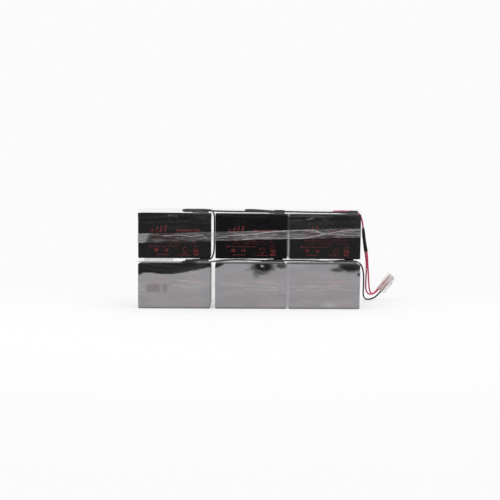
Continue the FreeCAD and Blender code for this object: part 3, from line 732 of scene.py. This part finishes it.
def without_notch(points, faces, row):
    """The film's faces, less those in the opening that its lead comes out of."""
    near, far, low = NOTCHES[row]
    middle = points[np.array(faces)].mean(axis=1)
    cut = (middle[:, 0] > ROW_LENGTH / 2 - LIP - 2) & (middle[:, 2] > BASE[row] + low)
    cut &= (middle[:, 1] > near) & (middle[:, 1] < far)
    return [face for face, gone in zip(faces, cut) if not gone]


def tucked(core, normal, radius, reach):
    """Places on the walls, moved inwards by their reach, and squarely so past a corner's centre."""
    half_x, half_y = ROW_LENGTH / 2 + FILM_WALL, CASE_DEPTH / 2 + FILM_WALL
    toward = np.sign(normal) * (np.abs(normal) > 0.001)
    flat = core + normal * np.maximum(radius - reach, 0)[:, None]
    flat -= toward * np.maximum(reach - radius, 0)[:, None]
    flat[:, 0] = np.clip(flat[:, 0], -(half_x - reach), half_x - reach)
    flat[:, 1] = np.clip(flat[:, 1], -(half_y - reach), half_y - reach)
    return flat


def film_swell(points, flat, normal, inwards, height):
    """How far the film stands off: creases, slack and puckers, and a dip over the wider gap."""
    upper = smooth_step(height, 60, 100)
    swell = 0.35 * ridges(points, (0.02, 0.02, 0.06), 6)
    swell += 0.25 * (1 + field(points, (0.03, 0.03, 0.02), 7)) * (0.4 + upper)
    near_rim = smooth_step(height, 95, 101) * (1 - smooth_step(inwards, 2, 6))
    swell += near_rim * 0.5 * field(points, (0.09, 0.09, 0.1), 12)
    on_broad_side = np.abs(normal[:, 1]) > 0.99
    dip = bell(flat[:, 0], WIDE_GAP_MIDDLE, DIP_HALF) * on_broad_side
    dip *= height < CASE_HEIGHT - 1
    return np.where(inwards > 0.01, swell * 0.5, swell) - DIP_DEPTH * dip


def film_sleeve(row):
    """A row's sleeve. It dips over the wider gap, puckers towards its corners and rim, and its lip
    ends unevenly."""
    cores, normals, radius, total = loop_round(FILM_COLUMNS, FILM_WALL)
    profile = film_profile()
    core = np.repeat(cores, len(profile), axis=0)
    normal = np.repeat(normals, len(profile), axis=0)
    inwards, height = np.tile(profile, (FILM_COLUMNS, 1)).T
    unfolded = np.column_stack([core + normal * radius, height])
    frayed = smooth_step(inwards, RIM_RADIUS, LIP)
    reach = inwards + frayed * 1.6 * field(unfolded, (0.05, 0.05, 0.0), 11)
    flat = tucked(core, normal, radius, reach)
    flat += normal * film_swell(unfolded, flat, normal, inwards, height)[:, None]
    ripple = smooth_step(inwards, 1.0, 3.5) * 0.7 * field(unfolded, (0.06, 0.06, 0.0), 13)
    points = np.column_stack([flat, height + BASE[row] + ripple])
    piece = mesh_piece(
        f"film_{row}_row",
        points,
        without_notch(points, band_faces(FILM_COLUMNS, len(profile)), row),
        "film",
        film_haze_and_painted_light(row, points, inwards),
    )
    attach(piece, "root")
    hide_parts(f"film_sleeve_{row}")
    total * MM


for row in BASE:
    film_sleeve(row)

# ---------------------------------------------------------------------------------------------
# Tape bands

TAPE_COLUMNS, TAPE_ROWS = 520, 22
TAPE_WIDTH = 20.6
# How far the band stands off the cases' faces
TAPE_OUT = 0.55
# Each row's band: its height in the scene at the middle of the row, and its slope in degrees
BANDS = {"upper": (154.0, 1.8), "lower": (47.0, 0.6)}
# The solid patch at the left-hand end: how milky it is, and the two x that it ends between
PATCH_HAZE, PATCH_END = 0.42, (-217, -207)
# The rest of the front is clearer up to these two x
CLEAR_END = (-110, -70)
# (x, extra milkiness, part of the painted glare) along the front of a band
DENSE_TAPE = [(-60, 0), (-42, 0.01), (-28, 0.09), (12, 0.11), (40, 0.07), (110, 0.05), (140, 0)]
# (x, distance above the band's middle) along each sharp crease of the upper band's front, painted
# as a bright highlight
CREASES = [
    [(84, 8), (110, 9), (136, 8), (150, 0), (178, -2), (205, -5), (232, -6)],
    [(84, -8), (118, -8), (150, -2), (180, 3), (206, 6), (232, 7)],
    [(-70, -3), (-40, 1), (0, 2), (40, 6), (78, 8)],
    [(-16, -8), (-8, -7), (30, -6), (78, -7)],
    [(-180, 4), (-150, 5), (-120, 1), (-100, 3), (-88, -4)],
]


def tape_haze_and_painted_glare(row, points, above):
    """Painted glare of the wrinkled tape as streaks, denser stretches and bright creases along the
    band, and one solid patch at the left-hand end.
    """
    x, y = points[:, 0], points[:, 1]
    front = on_front(y)
    streaks = ridges(points, (0.018, 0.018, 0.22), 21)
    mottle = smooth_step(field(points, (0.06, 0.06, 0.4), 22), 0.0, 0.6)
    cloud = 0.5 + 0.5 * field(points, (0.02, 0.02, 0.05), 23)
    # Painted glare: milky streaks and mottle where the wrinkled tape catches the light
    haze_and_painted_light = 0.01 + 0.1 * cloud + 0.28 * streaks * (0.3 + cloud) + 0.12 * mottle
    haze_and_painted_light *= 1 - 0.35 * front * (1 - smooth_step(x, *CLEAR_END))
    dense = np.interp(x, *zip(*DENSE_TAPE)) * front * (0.6 + 0.8 * mottle)
    haze_and_painted_light += dense * (1 - smooth_step(np.abs(above), 7, 9.5))
    haze_and_painted_light += 0.12 * smooth_step(np.abs(above), 9.2, 10.2)
    patch = (1 - smooth_step(x - 0.5 * above, *PATCH_END)) * front
    haze_and_painted_light = haze_and_painted_light * (1 - patch) + (PATCH_HAZE + 0.05 * mottle) * patch
    haze_and_painted_light += 0.3 * bell(x, NARROW_GAP_MIDDLE, NARROW_BRIDGE) * front
    if row == "lower":
        return np.clip(0.3 * haze_and_painted_light, 0.01, 0.5)
    # Painted highlights along the upper band's creases
    for line in CREASES:
        haze_and_painted_light += 0.52 * front * on_line(line, x, above, 0.75)
    return np.clip(haze_and_painted_light, 0.02, 0.75)


def tape_band(row):
    """A band of wrinkled tape round the film, which narrows and twists a little on its way."""
    middle, slope = BANDS[row]
    cores, normals, radius, total = loop_round(TAPE_COLUMNS, TAPE_OUT)
    core = np.repeat(cores, TAPE_ROWS, axis=0)
    normal = np.repeat(normals, TAPE_ROWS, axis=0)
    half_width = TAPE_WIDTH / 2
    across = np.tile(np.linspace(-half_width, half_width, TAPE_ROWS), TAPE_COLUMNS)
    flat = core + normal * radius
    line = middle + flat[:, 0] * math.tan(math.radians(slope))
    along = np.column_stack([flat, line])
    narrow = 0.92 + 0.08 * field(along, (0.012, 0.012, 0.0), 31)
    edge = 0.7 * field(along, (0.08, 0.08, 0.0), 32) * np.abs(across) / half_width
    above = across * narrow + edge
    unlifted = np.column_stack([flat, line + above])
    lift = 0.55 * ridges(unlifted, (0.03, 0.03, 0.2), 33)
    lift += 0.3 * np.abs(field(unlifted, (0.1, 0.1, 0.3), 34))
    points = np.column_stack([flat + normal * lift[:, None], line + above])
    piece = mesh_piece(
        f"tape_{row}_row",
        points,
        band_faces(TAPE_COLUMNS, TAPE_ROWS),
        "tape",
        tape_haze_and_painted_glare(row, points, above),
    )
    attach(piece, "root")
    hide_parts(f"tape_band_{row}")
    total * MM


for row in BASE:
    tape_band(row)

# ---------------------------------------------------------------------------------------------
# Printed marks: plain bars, blocks and a ring, the same on every battery's front

MARK_DEPTH = 0.04
# The label face is let in behind its frame, and the marks' plane lies just proud of it
LABEL_RECESS, MARK_STANDOFF = 0.35, 0.01
MARK_Y = -CASE_DEPTH / 2 + LABEL_RECESS - MARK_STANDOFF
RING_MIDDLE, RING_OUT, RING_IN, RING_SIDES = (98.0, 17.6), 5.6, 4.4, 28
# (left, right, low, high) of each plain bar and block, from the case's left foot
PLAIN_BARS = [
    (80, 129, 56.4, 60.2), (26, 62, 50.8, 51.8), (70, 129, 50.6, 51.8), (30, 84, 24.4, 25.6),
    (24, 28, 23, 27), (36, 63, 7.2, 8.6), (34, 42, 14.2, 20.4), (55, 58, 14.2, 19),
    (59.5, 63, 14.2, 20.4), (82, 110, 6.4, 7.6), (115, 126, 6.4, 11), (115, 126, 13, 17.6),
    (115, 126, 19.8, 21), (115, 126, 24.6, 25.8), (95, 101, 9.6, 11),
]
# (left, length, low) of each fine line
FINE_LINES = [
    (30, 40, 46.2), (78, 50, 46.4), (30, 30, 42.8), (64, 26, 43.0), (100, 24, 43.2),
    (30, 52, 39.4), (92, 30, 39.8), (34, 22, 35.6), (62, 40, 35.8), (110, 10, 35.8),
    (34, 16, 31.2), (58, 34, 31.4), (100, 6, 31.4), (112, 14, 31.4),
]


def bar(left, right, low, high, lean=0.0):
    """The corners of a flat bar on the label face, in millimetres from the case's left foot."""
    return [(left, low), (right, low), (right + lean, high), (left + lean, high)]


def mark_outlines():
    """Four leaning bars that grow to the right, then the plain bars and the fine lines."""
    bars = [bar(27 + 9 * i, 30.4 + 9 * i, 55, 62 + 2.4 * i, lean=3) for i in range(4)]
    bars += [bar(*sides) for sides in PLAIN_BARS]
    return bars + [bar(left, left + run, low, low + 0.7) for left, run, low in FINE_LINES]


def mark_mesh():
    """All the marks of one label face in one thin mesh, with its foot at the origin."""
    form = bmesh.new()
    for outline in mark_outlines():
        corners = [form.verts.new((x * MM, 0, z * MM)) for x, z in outline]
        form.faces.new(corners)
    for i in range(RING_SIDES):
        quad = []
        for j, r in ((i, RING_IN), (i, RING_OUT), (i + 1, RING_OUT), (i + 1, RING_IN)):
            angle = 2 * math.pi * j / RING_SIDES
            x, z = RING_MIDDLE[0] + r * math.cos(angle), RING_MIDDLE[1] + r * math.sin(angle)
            quad.append(form.verts.new((x * MM, 0, z * MM)))
        form.faces.new(quad)
    bmesh.ops.remove_doubles(form, verts=form.verts, dist=1e-6)
    bmesh.ops.solidify(form, geom=form.faces, thickness=MARK_DEPTH * MM)
    bmesh.ops.recalc_face_normals(form, faces=form.faces)
    data = bpy.data.meshes.new("label_marks_master")
    form.to_mesh(data)
    form.free()
    return data


def repeat_on_points(name, master, places, finish):
    """Geometry Nodes put a copy of the master mesh at each place, and the result is made a plain
    mesh."""
    tree = bpy.data.node_groups.new(name, "GeometryNodeTree")
    tree.interface.new_socket("Geometry", in_out="INPUT", socket_type="NodeSocketGeometry")
    wanted = tree.interface.new_socket("Master", in_out="INPUT", socket_type="NodeSocketObject")
    tree.interface.new_socket("Geometry", in_out="OUTPUT", socket_type="NodeSocketGeometry")
    kinds = [
        "NodeGroupInput",
        "GeometryNodeObjectInfo",
        "GeometryNodeInstanceOnPoints",
        "GeometryNodeRealizeInstances",
        "GeometryNodeSetMaterial",
        "NodeGroupOutput",
    ]
    start, info, instances, real, paint, end = (tree.nodes.new(kind) for kind in kinds)
    paint.inputs["Material"].default_value = finishes[finish]
    for out, into in (
        (start.outputs["Geometry"], instances.inputs["Points"]),
        (start.outputs["Master"], info.inputs["Object"]),
        (info.outputs["Geometry"], instances.inputs["Instance"]),
        (instances.outputs["Instances"], real.inputs["Geometry"]),
        (real.outputs["Geometry"], paint.inputs["Geometry"]),
        (paint.outputs["Geometry"], end.inputs[0]),
    ):
        tree.links.new(out, into)
    source = bpy.data.objects.new(f"{name}_master", master)
    scene.collection.objects.link(source)
    spots = bpy.data.meshes.new(f"{name}_spots")
    spots.from_pydata([tuple(c * MM for c in place) for place in places], [], [])
    holder = bpy.data.objects.new(f"{name}_holder", spots)
    scene.collection.objects.link(holder)
    modifier = holder.modifiers.new("repeat", "NODES")
    modifier.node_group = tree
    modifier[wanted.identifier] = source
    bpy.context.view_layer.update()
    ready = holder.evaluated_get(bpy.context.evaluated_depsgraph_get())
    data = bpy.data.meshes.new_from_object(ready)
    data.name = name
    holder.modifiers.clear()
    for spent in (holder, source):
        bpy.data.objects.remove(spent)
    made = bpy.data.objects.new(name, data)
    scene.collection.objects.link(made)
    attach(made, "root")


for row, finish in (("upper", "ink"), ("lower", "brighter_ink")):
    repeat_on_points(
        f"label_marks_{row}",
        mark_mesh(),
        [(LEFT_END[column], MARK_Y, BASE[row]) for column in LEFT_END],
        finish,
    )

# ---------------------------------------------------------------------------------------------
# Floor, backdrop and light

# Half the floor's side, in metres
FLOOR_HALF = 6
FLOOR_TONE = (0.45, 0.45, 0.455)
# How strongly the floor's near and far parts are lifted for the camera
NEAR_GLOW, FAR_GLOW = 0.57, 0.965
# Between these distances from the object, in metres, the floor turns plain near-white
FADE_FROM, FADE_TO = 0.45, 1.0
LIGHT_AIM = (0, 0, 0.1)
# Each softbox's place, width and height in metres, and its watts
SOFTBOXES = {
    "top_softbox": ((0, -0.2, 1.7), (2.4, 1.8), 18),
    "left_softbox": ((-1.9, -1.0, 1.0), (1.4, 1.4), 9),
    "right_softbox": ((1.9, -0.8, 0.9), (1.4, 1.4), 7),
}
ROOM_STRENGTH = 0.42
BACKDROP_TONE = (0.97, 0.965, 0.97)


def stage_material(name):
    """Pale and matt. What the camera, mirrors and clear pieces see of it is lifted to near
    white, plainly so away from the object, and near it the object's shadow stays."""
    shader = Shader(name)
    path = shader.tree.nodes.new("ShaderNodeLightPath")
    seen = [Value(shader, path.outputs[key]) for key in ("Is Camera Ray", "Is Glossy Ray")]
    seen.append(Value(shader, path.outputs["Is Transmission Ray"]))
    share = (seen[0] + seen[1] + seen[2]).clamped()
    point = shader.node("ShaderNodeTexCoord", out="Object")
    away = shader.node("ShaderNodeVectorMath", {"operation": "LENGTH"}, {0: point}, out="Value")
    matt = shader.node("ShaderNodeBsdfDiffuse", None, {"Color": (*FLOOR_TONE, 1)})
    near, far = (
        shader.node("ShaderNodeEmission", None, {"Color": (1, 1, 1, 1), "Strength": glow})
        for glow in (NEAR_GLOW, FAR_GLOW)
    )
    both = shader.node("ShaderNodeAddShader", None, {0: matt, 1: near})
    fade = away.step(FADE_FROM, FADE_TO)
    lifted = shader.node("ShaderNodeMixShader", None, {0: fade, 1: both, 2: far})
    mixed = shader.node("ShaderNodeMixShader", None, {0: share, 1: matt, 2: lifted})
    shader.tree.links.new(mixed.socket, shader.output.inputs["Surface"])
    return shader.material


def add_floor():
    data = bpy.data.meshes.new("floor")
    signs = [(-1, -1), (1, -1), (1, 1), (-1, 1)]
    corners = [(a * FLOOR_HALF, b * FLOOR_HALF, 0) for a, b in signs]
    data.from_pydata(corners, [], [(0, 1, 2, 3)])
    data.materials.append(stage_material("pale_floor"))
    made = bpy.data.objects.new("floor", data)
    scene.collection.objects.link(made)


def add_softboxes():
    for name, (place, size, watts) in SOFTBOXES.items():
        data = bpy.data.lights.new(name, "AREA")
        data.shape = "RECTANGLE"
        data.size, data.size_y = size
        data.energy = watts
        made = bpy.data.objects.new(name, data)
        made.location = place
        aim = Vector(LIGHT_AIM) - Vector(place)
        made.rotation_euler = aim.to_track_quat("-Z", "Y").to_euler()
        scene.collection.objects.link(made)


def add_room():
    """An even white room that lights the object, and a pale backdrop that the camera sees."""
    world = bpy.data.worlds.new("studio")
    world.use_nodes = True
    tree = world.node_tree
    tree.nodes.clear()
    path = tree.nodes.new("ShaderNodeLightPath")
    output = tree.nodes.new("ShaderNodeOutputWorld")
    mix = tree.nodes.new("ShaderNodeMixShader")
    room = tree.nodes.new("ShaderNodeBackground")
    room.inputs["Color"].default_value = (1, 1, 1, 1)
    room.inputs["Strength"].default_value = ROOM_STRENGTH
    backdrop = tree.nodes.new("ShaderNodeBackground")
    backdrop.inputs["Color"].default_value = (*BACKDROP_TONE, 1)
    tree.links.new(path.outputs["Is Camera Ray"], mix.inputs[0])
    tree.links.new(room.outputs[0], mix.inputs[1])
    tree.links.new(backdrop.outputs[0], mix.inputs[2])
    tree.links.new(mix.outputs[0], output.inputs["Surface"])
    scene.world = world


add_floor()
add_softboxes()
add_room()
scene.view_settings.view_transform = "Standard"
